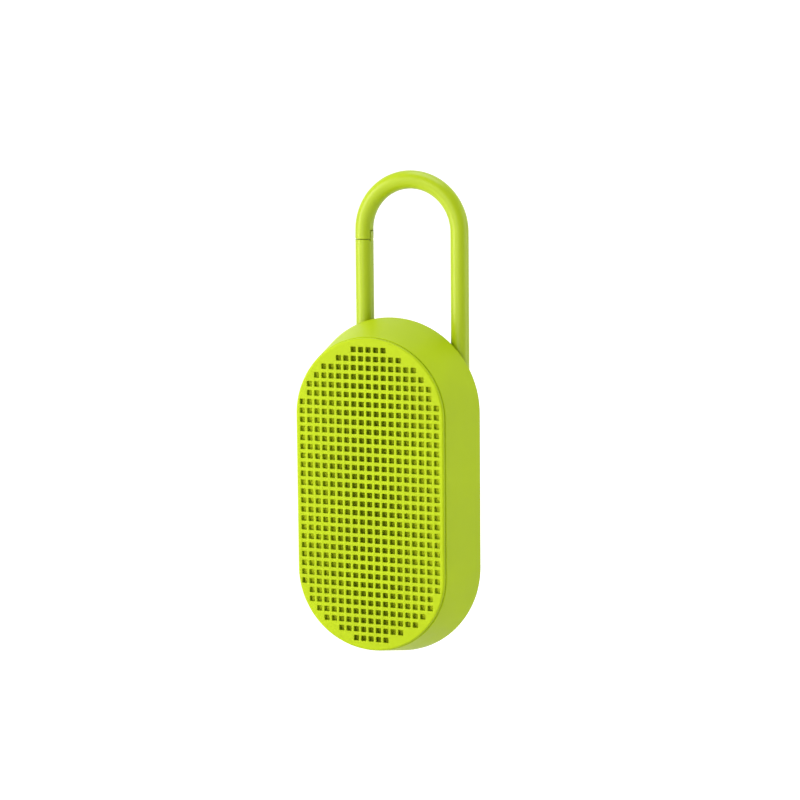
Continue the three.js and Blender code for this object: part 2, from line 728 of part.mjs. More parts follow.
place("battery_lead", batteryLead(), RED_WIRE);
place("speaker_lead", speakerLead(), BLACK_RUBBER);

export default speaker;
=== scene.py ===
"""The looks of a clip-on shower speaker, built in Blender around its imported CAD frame."""

import json
import math

import bmesh
import bpy
from mathutils import Matrix, Vector
from mathutils.geometry import delaunay_2d_cdt


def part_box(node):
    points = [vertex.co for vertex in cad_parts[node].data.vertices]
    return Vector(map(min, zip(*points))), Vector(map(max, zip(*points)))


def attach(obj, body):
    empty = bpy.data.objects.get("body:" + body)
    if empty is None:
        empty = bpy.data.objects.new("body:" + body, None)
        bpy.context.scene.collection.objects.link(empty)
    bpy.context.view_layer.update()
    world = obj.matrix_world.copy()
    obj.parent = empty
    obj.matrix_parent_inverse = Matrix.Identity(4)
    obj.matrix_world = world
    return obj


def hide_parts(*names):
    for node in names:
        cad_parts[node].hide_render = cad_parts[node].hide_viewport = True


MM = 0.001
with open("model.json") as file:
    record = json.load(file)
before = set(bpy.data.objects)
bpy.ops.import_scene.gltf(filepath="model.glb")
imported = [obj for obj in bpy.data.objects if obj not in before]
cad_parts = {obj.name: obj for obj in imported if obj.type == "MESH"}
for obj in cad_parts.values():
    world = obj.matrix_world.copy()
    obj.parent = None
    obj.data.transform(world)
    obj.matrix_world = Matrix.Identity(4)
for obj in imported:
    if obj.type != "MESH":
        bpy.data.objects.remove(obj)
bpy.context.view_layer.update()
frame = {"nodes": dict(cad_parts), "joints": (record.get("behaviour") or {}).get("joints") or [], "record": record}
JOINTS = {joint["name"]: joint for joint in frame["joints"]}


# ---- driving dimensions, read from the frame ----------------------------------------------
def middle(low, high):
    return (low + high) / 2


GRILLE_LOW, GRILLE_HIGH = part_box("grille_panel")
FRONT_Y = GRILLE_LOW.y
FRONT_R = GRILLE_HIGH.x
ARC_Z = GRILLE_HIGH.z - FRONT_R
PANEL_BACK_Y = GRILLE_HIGH.y
HOUSING_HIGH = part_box("front_housing")[1]
PARTING_Y = HOUSING_HIGH.y + 0.15 * MM
WIDEST_R = HOUSING_HIGH.x
WALL = 2.6 * MM
REAR_WALL = 2.2 * MM
BAFFLE_FRONT_Y = -27.8 * MM
BAFFLE_BACK_Y = -25.1 * MM
# How fast the rear cover narrows behind the parting line, and the half width of its flat back.
COVER_SLOPE = 0.43
FLAT_R = 20.6 * MM

# The grille's grid of square holes, whose centres lie inside a smaller stadium.
COLUMNS = 19
ROWS = 33
COLUMN_PITCH = 2.423 * MM
ROW_PITCH = 2.754 * MM
HOLE_HALF = 0.83 * MM
FIELD_R = 22.5 * MM
FIELD_ARC_Z = 22.2 * MM

SPINE_LOW, SPINE_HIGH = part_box("carabiner_spine")
LOOP_Y = middle(SPINE_LOW.y, SPINE_HIGH.y)
ROD_R = (SPINE_HIGH.y - SPINE_LOW.y) / 2
LOOP_X = middle(SPINE_LOW.x, SPINE_HIGH.x)
LOOP_R = (SPINE_HIGH.x - SPINE_LOW.x) / 2 - ROD_R
LOOP_ARC_Z = SPINE_HIGH.z - ROD_R - LOOP_R
GATE_X = LOOP_X - LOOP_R
SPINE_X = LOOP_X + LOOP_R
NOSE_Z = 75.2 * MM
GATE_TOP_Z = NOSE_Z - 0.22 * MM
SHOULDER_Z = 29 * MM
PIVOT_Z = JOINTS["gate_hinge"]["pos_m"][2]
GATE_SLOT_REACH = 4.6 * MM
SLOT_GAP = 0.3 * MM

SHARP_DEGREES = 50
REAR_SCREWS = range(1, 5)


# ---- camera, light and floor --------------------------------------------------------------
def make_camera():
    """Looks at the grille from the right and a little above, through a long lens."""
    azimuth, elevation, roll = 0.399, 0.148, -0.009
    distance = 0.8
    aim = Vector((0, FRONT_Y + 9.53 * MM, 0))
    slide_right, slide_up = 5.44 * MM, 27.4 * MM
    level_back = Vector((math.sin(azimuth), -math.cos(azimuth), 0))
    back = level_back * math.cos(elevation) + Vector((0, 0, math.sin(elevation)))
    level = Vector((math.cos(azimuth), math.sin(azimuth), 0))
    upright = back.cross(level)
    right = math.cos(roll) * level + math.sin(roll) * upright
    up = -math.sin(roll) * level + math.cos(roll) * upright
    data = bpy.data.cameras.new("camera")
    data.sensor_width = 36
    data.lens = 118.7
    data.clip_start, data.clip_end = 0.05, 20
    camera = bpy.data.objects.new("camera", data)
    bpy.context.scene.collection.objects.link(camera)
    spot = aim + back * distance + right * slide_right + up * slide_up
    turn = Matrix((right, up, back)).transposed().to_4x4()
    camera.matrix_world = Matrix.Translation(spot) @ turn
    bpy.context.scene.camera = camera


def add_area_light(name, spot, size, power, color=(1, 1, 1)):
    """A rectangular soft light that points at the middle of the body."""
    aim = Vector((0, -0.015, 0.02))
    data = bpy.data.lights.new(name, "AREA")
    data.shape = "RECTANGLE"
    data.size, data.size_y = size
    data.energy = power
    data.color = color
    light = bpy.data.objects.new(name, data)
    bpy.context.scene.collection.objects.link(light)
    light.location = spot
    light.rotation_mode = "QUATERNION"
    light.rotation_quaternion = (aim - Vector(spot)).to_track_quat("-Z", "Y")


def make_studio():
    """A warm key light from the left, weaker lights round it and an even pale sky."""
    bpy.context.scene.view_settings.view_transform = "Standard"
    tall, square = (0.7, 1.2), (1.0, 1.0)
    add_area_light("key_light", (-1.1, -0.85, 0.25), tall, 25, (1, 0.9, 0.75))
    add_area_light("front_light", (-0.2, -1.5, 0.3), square, 9.6)
    add_area_light("fill_light", (1.3, 0.3, 0.1), tall, 6.8)
    add_area_light("top_light", (0, 0.05, 1.3), square, 14)
    world = bpy.data.worlds.new("studio")
    bpy.context.scene.world = world
    world.use_nodes = True
    sky = world.node_tree.nodes["Background"]
    sky.inputs["Color"].default_value = (1, 1, 1, 1)
    sky.inputs["Strength"].default_value = 0.55


def make_floor():
    """A pale floor that sweeps up into a backdrop, well below the hanging speaker."""
    floor_z, half, depth, rise, sweep, steps = -0.42, 8.0, 2.2, 3.0, 0.8, 16
    bend_y, bend_z = depth - sweep, floor_z + sweep
    line = [(-half, floor_z), (bend_y, floor_z)]
    for i in range(1, steps + 1):
        angle = math.pi / 2 * i / steps
        line.append((bend_y + sweep * math.sin(angle), bend_z - sweep * math.cos(angle)))
    line.append((depth, rise))
    verts = [(x, y, z) for y, z in line for x in (-half, half)]
    faces = [(2 * i, 2 * i + 1, 2 * i + 3, 2 * i + 2) for i in range(len(line) - 1)]
    floor = mesh_object("floor", verts, faces)
    floor.data.materials.append(MATERIALS["floor_white"])


# ---- mesh helpers -------------------------------------------------------------------------
def shade_smooth(mesh):
    mesh.polygons.foreach_set("use_smooth", [True] * len(mesh.polygons))


def mesh_object(name, verts, faces):
    mesh = bpy.data.meshes.new(name)
    mesh.from_pydata([tuple(v) for v in verts], [], [tuple(f) for f in faces])
    mesh.validate()
    mesh.update()
    made = bpy.data.objects.new(name, mesh)
    bpy.context.scene.collection.objects.link(made)
    shade_smooth(mesh)
    return made


def mark_sharp(mesh, degrees=SHARP_DEGREES):
    work = bmesh.new()
    work.from_mesh(mesh)
    limit = math.radians(degrees)
    for edge in work.edges:
        if len(edge.link_faces) == 2:
            edge.smooth = edge.calc_face_angle(0) < limit
    work.to_mesh(mesh)
    work.free()


def weight_normals(made):
    """Keeps flat faces flat in the shading beside their rounded edges."""
    weighted = made.modifiers.new("shading", "WEIGHTED_NORMAL")
    weighted.keep_sharp = True


def face_out(made):
    """Turns every face outwards, so that joins and cuts see a solid."""
    work = bmesh.new()
    work.from_mesh(made.data)
    bmesh.ops.remove_doubles(work, verts=work.verts, dist=1e-7)
    bmesh.ops.recalc_face_normals(work, faces=work.faces)
    work.to_mesh(made.data)
    work.free()
    return made


def settle(made):
    """Applies the object's modifiers to its mesh."""
    graph = bpy.context.evaluated_depsgraph_get()
    mesh = bpy.data.meshes.new_from_object(made.evaluated_get(graph))
    made.modifiers.clear()
    made.data = mesh
    return made


def cut(made, cutters, operation="DIFFERENCE"):
    """Cuts the tools out of the object, or joins them to it, and removes them."""
    for tool in cutters:
        face_out(tool)
        modifier = made.modifiers.new("cut", "BOOLEAN")
        modifier.operation = operation
        modifier.solver = "EXACT"
        modifier.object = tool
    bpy.context.view_layer.update()
    settle(made)
    for tool in cutters:
        bpy.data.objects.remove(tool)
    return made


def soften(made, width, segments=3):
    """Rounds the sharp edges and settles the shading."""
    bevel = made.modifiers.new("edge", "BEVEL")
    bevel.width = width
    bevel.segments = segments
    bevel.limit_method = "ANGLE"
    bevel.angle_limit = math.radians(32)
    bevel.use_clamp_overlap = True
    bpy.context.view_layer.update()
    settle(made)
    shade_smooth(made.data)
    mark_sharp(made.data)
    weight_normals(made)
    return made


def fillet(points, radius, steps=5, closed=True):
    """The 2-D outline with its corners rounded. radius is one number or one for each corner."""
    count = len(points)
    radii = radius if isinstance(radius, list) else [radius] * count
    rounded = []
    for i, (point, r) in enumerate(zip(points, radii)):
        here = Vector(point)
        if r <= 0 or (not closed and i in (0, count - 1)):
            rounded.append(here)
            continue
        before = (Vector(points[i - 1]) - here).normalized()
        after = (Vector(points[(i + 1) % count]) - here).normalized()
        half = math.acos(max(-1, min(1, before.dot(after)))) / 2
        reach = r / math.tan(half)
        centre = here + (before + after).normalized() * (r / math.sin(half))
        start = here + before * reach - centre
        end = here + after * reach - centre
        sweep = math.acos(max(-1, min(1, start.dot(end) / r**2)))
        for k in range(steps + 1):
            t = k / steps
            bend = start * math.sin((1 - t) * sweep) + end * math.sin(t * sweep)
            rounded.append(centre + bend / math.sin(sweep))
    return rounded


def stadium(radius, arc_steps=72, straight_steps=10):
    """Points round the body's outline at a half width, anticlockwise as seen from the front."""
    points = []
    for side in (1, -1):
        for i in range(arc_steps + 1):
            angle = math.pi * i / arc_steps
            points.append((side * radius * math.cos(angle), side * (ARC_Z + radius * math.sin(angle))))
        for i in range(1, straight_steps):
            points.append((-side * radius, side * ARC_Z * (1 - 2 * i / straight_steps)))
    return points


def skin(rings, closed=False):
    """Faces between rings of vertex numbers, each with as many vertices as the next."""
    faces = []
    for k in range(len(rings) if closed else len(rings) - 1):
        near, far = rings[k], rings[(k + 1) % len(rings)]
        for i in range(len(near)):
            j = (i + 1) % len(near)
            faces.append((near[i], near[j], far[j], far[i]))
    return faces


def numbered(rings):
    """The rings' vertex numbers, when their vertices are listed one ring after another."""
    size = len(rings[0])
    return [list(range(k * size, (k + 1) * size)) for k in range(len(rings))]


def ring_solid(name, rings, closed=False, capped=False):
    """A skin over rings of points. An open one can be capped at both ends."""
    numbers = numbered(rings)
    caps = [tuple(numbers[0]), tuple(reversed(numbers[-1]))] if capped else []
    verts = [v for ring in rings for v in ring]
    return face_out(mesh_object(name, verts, caps + skin(numbers, closed)))


def stadium_rings(outline):
    return [[(x, y, z) for x, z in stadium(radius)] for radius, y in outline]


def turned(name, outline, x, z, sides=64):
    """Turns a (radius, y) outline about a Y axis. Ends on the axis are closed to a point."""
    verts, rings = [], []
    for radius, y in outline:
        if radius < 1e-7:
            rings.append([len(verts)] * sides)
            verts.append((x, y, z))
            continue
        rings.append(list(range(len(verts), len(verts) + sides)))
        verts += [(px, y, pz) for px, pz in circle(radius, x, z, sides)]
    faces = [tuple(dict.fromkeys(face)) for face in skin(rings)]
    return face_out(mesh_object(name, verts, [f for f in faces if len(f) > 2]))


def drum(radius, y0, y1, x, z, sides=48):
    return turned("tool", [(0, y0), (radius, y0), (radius, y1), (0, y1)], x, z, sides)


def prism(outline, along, low, high, name="tool"):
    """Extrudes a 2-D outline along an axis: "x" takes (y, z) points, "y" (x, z) and "z" (x, y)."""

    def at(point, t):
        corner = list(point)
        corner.insert("xyz".index(along), t)
        return tuple(corner)

    return ring_solid(name, [[at(p, t) for p in outline] for t in (low, high)], capped=True)


def circle(radius, x=0.0, y=0.0, sides=48):
    turns = [2 * math.pi * i / sides for i in range(sides)]
    return [(x + radius * math.cos(a), y + radius * math.sin(a)) for a in turns]


def rectangle(x0, x1, z0, z1, radius=0.0, steps=5):
    corners = [(x0, z0), (x1, z0), (x1, z1), (x0, z1)]
    return fillet(corners, radius, steps) if radius else corners


def around(low, high, spare, radius, spare_top=None):
    """A rounded rectangle in X and Z round a node's box, with room to spare."""
    top = spare if spare_top is None else spare_top
    return rectangle(low.x - spare, high.x + spare, low.z - spare, high.z + top, radius)


def capsule(x0, x1, y, radius, steps=24):
    """A slot outline from x0 to x1, between the centres of its two round ends."""
    points = []
    for side, x in ((1, x1), (-1, x0)):
        for i in range(steps + 1):
            angle = -math.pi / 2 + math.pi * i / steps
            points.append((x + side * radius * math.cos(angle), y + side * radius * math.sin(angle)))
    return points


# ---- materials ----------------------------------------------------------------------------
MATERIALS = {}


def new_material(name):
    """Adds a material to MATERIALS and returns its shader and the nodes and links of its tree."""
    material = bpy.data.materials.new(name)
    material.use_nodes = True
    MATERIALS[name] = material
    tree = material.node_tree
    return tree.nodes["Principled BSDF"], tree.nodes, tree.links


def noise(nodes, links, scale, detail):
    place = nodes.new("ShaderNodeTexCoord")
    texture = nodes.new("ShaderNodeTexNoise")
    texture.inputs["Scale"].default_value = scale
    texture.inputs["Detail"].default_value = detail
    texture.inputs["Roughness"].default_value = 0.55
    links.new(place.outputs["Object"], texture.inputs["Vector"])
    return texture.outputs["Fac"]


def spread(nodes, links, source, low, high):
    """Spreads a noise, most of which lies between 0.3 and 0.7, over a range."""
    ranged = nodes.new("ShaderNodeMapRange")
    ranged.inputs["From Min"].default_value = 0.3
    ranged.inputs["From Max"].default_value = 0.7
    ranged.inputs["To Min"].default_value = low
    ranged.inputs["To Max"].default_value = high
    links.new(source, ranged.inputs["Value"])
    return ranged.outputs["Result"]


def two_tone(nodes, links, source, first, second, start=0.3, end=0.7):
    ramp = nodes.new("ShaderNodeValToRGB")
    for stop, color, position in zip(ramp.color_ramp.elements, (first, second), (start, end)):
        stop.position = position
        stop.color = (*color, 1)
    links.new(source, ramp.inputs["Fac"])
    return ramp.outputs["Color"]


def add_bump(nodes, links, shader, sources, strength):
    """Stacks bumps, each a height source and its depth in metres."""
    normal = None
    for source, depth in sources:
        bump = nodes.new("ShaderNodeBump")
        bump.inputs["Strength"].default_value = strength
        bump.inputs["Distance"].default_value = depth
        links.new(source, bump.inputs["Height"])
        if normal:
            links.new(normal, bump.inputs["Normal"])
        normal = bump.outputs["Normal"]
    links.new(normal, shader.inputs["Normal"])


def shade(color, factor):
    return tuple(min(1, c * factor) for c in color)


def moulded(name, color, roughness, grain_scale=2600, grain=0.02 * MM, **finish):
    """Moulded plastic, rubber or coated metal: fine grain, faint flow marks and uneven gloss."""
    tone = finish.get("tone", 0.04)
    shader, nodes, links = new_material(name)
    flow = noise(nodes, links, 55, 4)
    fine = noise(nodes, links, grain_scale, 2)
    wave = noise(nodes, links, 260, 2)
    tinted = two_tone(nodes, links, flow, shade(color, 1 - tone), shade(color, 1 + tone))
    uneven = spread(nodes, links, flow, roughness - 0.05, roughness + 0.05)
    links.new(tinted, shader.inputs["Base Color"])
    links.new(uneven, shader.inputs["Roughness"])
    add_bump(nodes, links, shader, [(fine, grain), (wave, grain * 1.5)], 0.35)
    shader.inputs["Metallic"].default_value = finish.get("metallic", 0.0)
    shader.inputs["Coat Weight"].default_value = finish.get("coat", 0.0)
    shader.inputs["Coat Roughness"].default_value = 0.25
    shader.inputs["Specular IOR Level"].default_value = finish.get("gloss", 0.2)


def brushed(name, color, roughness, scratch_scale=(4000, 400, 400)):
    """Turned or rolled metal with fine scratches along one way."""
    shader, nodes, links = new_material(name)
    place = nodes.new("ShaderNodeTexCoord")
    stretch = nodes.new("ShaderNodeMapping")
    stretch.inputs["Scale"].default_value = scratch_scale
    scratches = nodes.new("ShaderNodeTexNoise")
    scratches.inputs["Scale"].default_value = 1
    scratches.inputs["Detail"].default_value = 4
    links.new(place.outputs["Object"], stretch.inputs["Vector"])
    links.new(stretch.outputs["Vector"], scratches.inputs["Vector"])
    lines = scratches.outputs["Fac"]
    tinted = two_tone(nodes, links, lines, shade(color, 0.88), shade(color, 1.08))
    uneven = spread(nodes, links, lines, roughness - 0.08, roughness + 0.1)
    links.new(tinted, shader.inputs["Base Color"])
    links.new(uneven, shader.inputs["Roughness"])
    add_bump(nodes, links, shader, [(lines, 0.01 * MM)], 0.4)
    shader.inputs["Metallic"].default_value = 1


def weave(nodes, links, place, thread):
    """The height of plain-weave threads along X and Z."""
    heights = []
    for direction in ("X", "Z"):
        wave = nodes.new("ShaderNodeTexWave")
        wave.bands_direction = direction
        wave.inputs["Scale"].default_value = 0.314 / thread
        wave.inputs["Distortion"].default_value = 0.6
        wave.inputs["Detail"].default_value = 1
        links.new(place.outputs["Object"], wave.inputs["Vector"])
        heights.append(wave.outputs["Fac"])
    joined = nodes.new("ShaderNodeMath")
    joined.operation = "MAXIMUM"
    links.new(heights[0], joined.inputs[0])
    links.new(heights[1], joined.inputs[1])
    return joined.outputs["Value"]


def from_middle(nodes, links, place, start, end):
    """Runs from 0 to 1 as a point goes out from the middle of the front, to either side."""
    split = nodes.new("ShaderNodeSeparateXYZ")
    links.new(place.outputs["Object"], split.inputs["Vector"])
    aside = nodes.new("ShaderNodeMath")
    aside.operation = "ABSOLUTE"
    links.new(split.outputs["X"], aside.inputs[0])
    across = nodes.new("ShaderNodeMapRange")
    across.inputs["From Min"].default_value = start
    across.inputs["From Max"].default_value = end
    links.new(aside.outputs["Value"], across.inputs["Value"])
    return across.outputs["Result"]


def woven(name, shaded_middle_color, lit_side_color):
    """Fine plain-weave cloth with painted shade: darker towards the middle of the front and lighter to either
    side, standing in for the shade inside the grille's holes.
    """
    shader, nodes, links = new_material(name)
    place = nodes.new("ShaderNodeTexCoord")
    threads = weave(nodes, links, place, 0.2 * MM)
    # Painted shade: the cloth's colour runs from dark at the middle of the front to light at either side.
    across = from_middle(nodes, links, place, 4 * MM, 23 * MM)
    painted_shade = two_tone(nodes, links, across, shaded_middle_color, lit_side_color, 0, 1)
    threads_with_painted_shade = nodes.new("ShaderNodeMix")
    threads_with_painted_shade.data_type = "RGBA"
    threads_with_painted_shade.blend_type = "MULTIPLY"
    threads_with_painted_shade.inputs["Factor"].default_value = 1
    links.new(painted_shade, threads_with_painted_shade.inputs["A"])
    links.new(two_tone(nodes, links, threads, (0.45, 0.45, 0.45), (1, 1, 1)), threads_with_painted_shade.inputs["B"])
    links.new(threads_with_painted_shade.outputs["Result"], shader.inputs["Base Color"])
    shader.inputs["Roughness"].default_value = 0.9
    shader.inputs["Specular IOR Level"].default_value = 0.1
    add_bump(nodes, links, shader, [(threads, 0.1 * MM)], 0.6)


def clear_plastic(name):
    shader, nodes, links = new_material(name)
    cloud = noise(nodes, links, 900, 2)
    tinted = two_tone(nodes, links, cloud, (0.72, 0.8, 0.7), (0.85, 0.9, 0.82))
    links.new(tinted, shader.inputs["Base Color"])
    links.new(spread(nodes, links, cloud, 0.08, 0.16), shader.inputs["Roughness"])
    shader.inputs["Transmission Weight"].default_value = 0.5
    shader.inputs["IOR"].default_value = 1.49


def floor_white(name):
    """White, and a little less bright straight below the speaker, so that its underside is shaded."""
    shader, nodes, links = new_material(name)
    place = nodes.new("ShaderNodeTexCoord")
    away = nodes.new("ShaderNodeVectorMath")
    away.operation = "LENGTH"
    links.new(place.outputs["Object"], away.inputs[0])
    outwards = nodes.new("ShaderNodeMapRange")
    outwards.inputs["From Min"].default_value = 0.6
    outwards.inputs["From Max"].default_value = 1.1
    links.new(away.outputs["Value"], outwards.inputs["Value"])
    tint = nodes.new("ShaderNodeValToRGB")
    tint.color_ramp.elements[0].color = (0.6, 0.6, 0.59, 1)
    tint.color_ramp.elements[1].color = (0.93, 0.93, 0.92, 1)
    links.new(outwards.outputs["Result"], tint.inputs["Fac"])
    links.new(tint.outputs["Color"], shader.inputs["Base Color"])
    glow = nodes.new("ShaderNodeMath")
    glow.operation = "MULTIPLY"
    glow.inputs[1].default_value = 0.3
    links.new(outwards.outputs["Result"], glow.inputs[0])
    links.new(glow.outputs["Value"], shader.inputs["Emission Strength"])
    shader.inputs["Roughness"].default_value = 0.9
    shader.inputs["Emission Color"].default_value = (1, 1, 1, 1)


LIME = (0.295, 0.4, 0.002)
BOARD_GREEN = (0.016, 0.13, 0.05)
FILM_GREY = (0.34, 0.38, 0.44)


def make_materials():
    floor_white("floor_white")
    moulded("shell_lime", LIME, 0.48, gloss=0.12)
    moulded("rod_lime", shade(LIME, 0.9), 0.34, 1800, 0.01 * MM, tone=0.02, coat=0.15)
    moulded("soft_lime", shade(LIME, 0.92), 0.62, 3200, 0.03 * MM)
    # The cloth's painted shade: a dark colour for the middle of the front and a lighter one for its sides.
    woven("lime_mesh", (0.24, 0.3, 0.003), (0.68, 0.8, 0.02))
    moulded("seal_rubber", (0.018, 0.018, 0.018), 0.75, 2200, 0.03 * MM)
    brushed("steel", (0.62, 0.63, 0.65), 0.3)
    moulded("dark_steel", (0.06, 0.06, 0.065), 0.5, 1500, 0.01 * MM, tone=0.1)
    moulded("ferrite", (0.05, 0.05, 0.055), 0.8, 1200, 0.04 * MM, tone=0.15)
    moulded("black_plastic", (0.025, 0.025, 0.027), 0.55)
    moulded("foam", (0.06, 0.06, 0.065), 0.95, 900, 0.2 * MM, tone=0.2)
    brushed("copper", (0.72, 0.34, 0.16), 0.35, (400, 6000, 400))
    moulded("board", BOARD_GREEN, 0.35, 700, 0.02 * MM, tone=0.12, coat=0.4)
    moulded("battery_film", FILM_GREY, 0.32, 500, 0.05 * MM, tone=0.05, coat=0.2, metallic=0.5)
    moulded("white_plastic", (0.72, 0.72, 0.68), 0.45)
    clear_plastic("clear_plastic")
    moulded("red_wire", (0.42, 0.025, 0.02), 0.45)


def dress_cad_nodes():
    slots = {part["node"]: part["material_slot"] for part in frame["record"]["subparts"]}
    for name, node in frame["nodes"].items():
        node.data.materials.clear()
        node.data.materials.append(MATERIALS[slots[name]])
        shade_smooth(node.data)
        weight_normals(node)


def finish_piece(made, slot, body, *nodes):
    """Gives a piece its material, the body it rides on and the CAD nodes it stands for."""
    made.data.materials.clear()
    made.data.materials.append(MATERIALS[slot])
    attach(made, body)
    if nodes:
        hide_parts(*nodes)


# ---- body ---------------------------------------------------------------------------------
def holes_in_row(row):
    height = max(0.0, abs(row) * ROW_PITCH - FIELD_ARC_Z)
    side = math.floor(math.sqrt(max(0.0, FIELD_R**2 - height**2)) / COLUMN_PITCH)
    return min(COLUMNS, 2 * side + 1)


def hole_centres():
    for row in range(-(ROWS // 2), ROWS // 2 + 1):
        side = holes_in_row(row) // 2
        for column in range(-side, side + 1):
            yield column * COLUMN_PITCH, row * ROW_PITCH


def hole_rings(x, z):
    """A square hole's rings, from its softened edge at the front face to that at the back."""
    lip = 0.1 * MM
    corner = 0.2 * MM
    rings = []
    for y, grow in (
        (FRONT_Y, lip),
        (FRONT_Y + lip * 0.3, lip * 0.3),
        (FRONT_Y + lip, 0),
        (PANEL_BACK_Y - lip, 0),
        (PANEL_BACK_Y, lip),
    ):
        half = HOLE_HALF + grow
        square = rectangle(x - half, x + half, z - half, z + half, corner + grow, 3)
        rings.append([(px, y, pz) for px, pz in square])
    return rings


def faces_between_holes(verts, front_loops, back_loops):
    """Fills the plate's two flat faces round the holes. The first loop is the plate's own edge."""
    front = [v for loop in front_loops for v in loop]
    back = [v for loop in back_loops for v in loop]
    flat = [Vector((verts[i][0], verts[i][2])) for i in front]
    owner = [number for number, loop in enumerate(front_loops) for _ in loop]
    bars = []
    start = 0
    for loop in front_loops:
        bars += [(start + (i - 1) % len(loop), start + i) for i in range(len(loop))]
        start += len(loop)
    _, _, triangles, origins, _, _ = delaunay_2d_cdt(flat, bars, [], 1, 1e-9)
    faces = []
    for triangle in triangles:
        a, b, c = (origins[i][0] for i in triangle)
        in_a_hole = owner[a] == owner[b] == owner[c] != 0
        if not in_a_hole:
            faces.append((front[a], front[b], front[c]))
            faces.append((back[c], back[b], back[a]))
    return faces


def grille():
    """The front plate with every square hole, each with softened edges."""
    edge = 0.6 * MM
    back_edge = 0.25 * MM
    inside_r = FRONT_R - 3 * edge
    corners = [
        (inside_r, FRONT_Y),
        (FRONT_R, FRONT_Y),
        (FRONT_R, PANEL_BACK_Y),
        (inside_r, PANEL_BACK_Y),
    ]
    rim = fillet(corners, [0, edge, back_edge, 0], 6, closed=False)[1:-1]
    rings = stadium_rings(rim)
    verts = [v for ring in rings for v in ring]
    numbers = numbered(rings)
    faces = skin(numbers)
    front_loops, back_loops = [numbers[0]], [numbers[-1]]
    for x, z in hole_centres():
        loops = []
        for ring in hole_rings(x, z):
            loops.append(list(range(len(verts), len(verts) + len(ring))))
            verts += ring
        faces += skin(loops)
        front_loops.append(loops[0])
        back_loops.append(loops[-1])
    faces += faces_between_holes(verts, front_loops, back_loops)
    made = face_out(mesh_object("grille", verts, faces))
    mark_sharp(made.data)
    weight_normals(made)
    finish_piece(made, "shell_lime", "case", "grille_panel")


def cloth_layer(y, depth, radius, rows, columns):
    """A grid of points over the stadium, pushed forward by up to a depth into every hole."""
    reach = ARC_Z + 0.998 * radius
    spots = []
    for i in range(rows + 1):
        z = reach * (2 * i / rows - 1)
        half = math.sqrt(radius**2 - max(0, abs(z) - ARC_Z) ** 2)
        along = math.cos(math.pi * z / ROW_PITCH) ** 2
        for j in range(columns + 1):
            x = half * (2 * j / columns - 1)
            across = math.cos(math.pi * x / COLUMN_PITCH) ** 2
            spots.append((x, y - depth * across * along, z))
    return spots


def cloth():
    """The acoustic cloth behind the grille, pushed a little way into every hole."""
    low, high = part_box("acoustic_mesh")
    rows, columns = 198, 96
    verts = cloth_layer(low.y, 0.22 * MM, high.x, rows, columns)
    verts += cloth_layer(high.y, 0, high.x, rows, columns)
    width = columns + 1
    count = (rows + 1) * width
    faces = []
    for i in range(rows):
        for j in range(columns):
            a = i * width + j
            b = a + width
            faces.append((a, a + 1, b + 1, b))
            faces.append((count + a, count + b, count + b + 1, count + a + 1))
    rim = list(range(width))
    rim += [i * width + columns for i in range(1, rows + 1)]
    rim += [rows * width + j for j in range(columns - 1, -1, -1)]
    rim += [i * width for i in range(rows - 1, 0, -1)]
    for a, b in zip(rim, rim[1:] + rim[:1]):
        faces.append((a, count + a, count + b, b))
    made = face_out(mesh_object("grille_cloth", verts, faces))
    mark_sharp(made.data)
    finish_piece(made, "lime_mesh", "case", "acoustic_mesh")


def housing():
    """The side wall, with softened rims, that widens from the grille to the parting line."""
    front = PANEL_BACK_Y + 0.12 * MM
    back = HOUSING_HIGH.y + 0.05 * MM
    slope = (WIDEST_R - FRONT_R) / (PARTING_Y - FRONT_Y)
    outer_front = FRONT_R + slope * (front - FRONT_Y)
    outer_back = FRONT_R + slope * (back - FRONT_Y)
    corners = [
        (outer_front, front),
        (outer_back, back),
        (outer_back - WALL, back),
        (outer_front - WALL / 2, front),
    ]
    outline = fillet(corners, [0.3 * MM, 0.25 * MM, 0.2 * MM, 0.2 * MM])
    wall = ring_solid("side_wall", stadium_rings(outline), closed=True)
    mark_sharp(wall.data)
    weight_normals(wall)
    finish_piece(wall, "shell_lime", "case", "front_housing")


def baffle():
    """The wall across the housing with openings for the driver and the passive radiator."""
    radius = FRONT_R - 0.5 * MM
    rim = [(radius, BAFFLE_FRONT_Y), (radius, BAFFLE_BACK_Y)]
    plate = ring_solid("baffle", stadium_rings(rim), capped=True)
    openings = []
    for node, spare in (("driver_surround", 0.4 * MM), ("passive_surround", 1.2 * MM)):
        low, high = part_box(node)
        opening = (high.x - low.x) / 2 + spare
        through = (BAFFLE_FRONT_Y - MM, BAFFLE_BACK_Y + MM)
        openings.append(drum(opening, *through, 0, middle(low.z, high.z), 96))
    soften(cut(plate, openings), 0.2 * MM)
    finish_piece(plate, "black_plastic", "case")


def cover_radius(y):
    return WIDEST_R - COVER_SLOPE * (y - PARTING_Y)


def cover_shell():
    """The cover's rounded outside, still solid."""
    front = PARTING_Y + 0.1 * MM
    rounding = 4 * MM
    corners = [
        (cover_radius(front) - MM, front),
        (cover_radius(front), front),
        (cover_radius(0), 0),
        (FLAT_R - rounding, 0),
    ]
    outline = fillet(corners, [0, 0.3 * MM, rounding, 0], 12, closed=False)
    return ring_solid("back_cover", stadium_rings(outline), capped=True)


def cover_room():
    """The space inside the cover, open at the front."""
    front = PARTING_Y + 0.1 * MM
    turn_y = -4 * MM
    inner_front = cover_radius(front) - WALL
    outline = [
        (inner_front, front - MM),
        (inner_front, front),
        (cover_radius(turn_y) - WALL, turn_y),
        (FLAT_R, -REAR_WALL),
    ]
    return ring_solid("tool", stadium_rings(outline), capped=True)


def drilled(node, depth, radius, sides, spare=0.0):
    """A tool for a round hole in the rear wall, in line with a node."""
    low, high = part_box(node)
    across = radius or (high.x - low.x) / 2 + spare
    return drum(across, -depth, MM, middle(low.x, high.x), middle(low.z, high.z), sides)


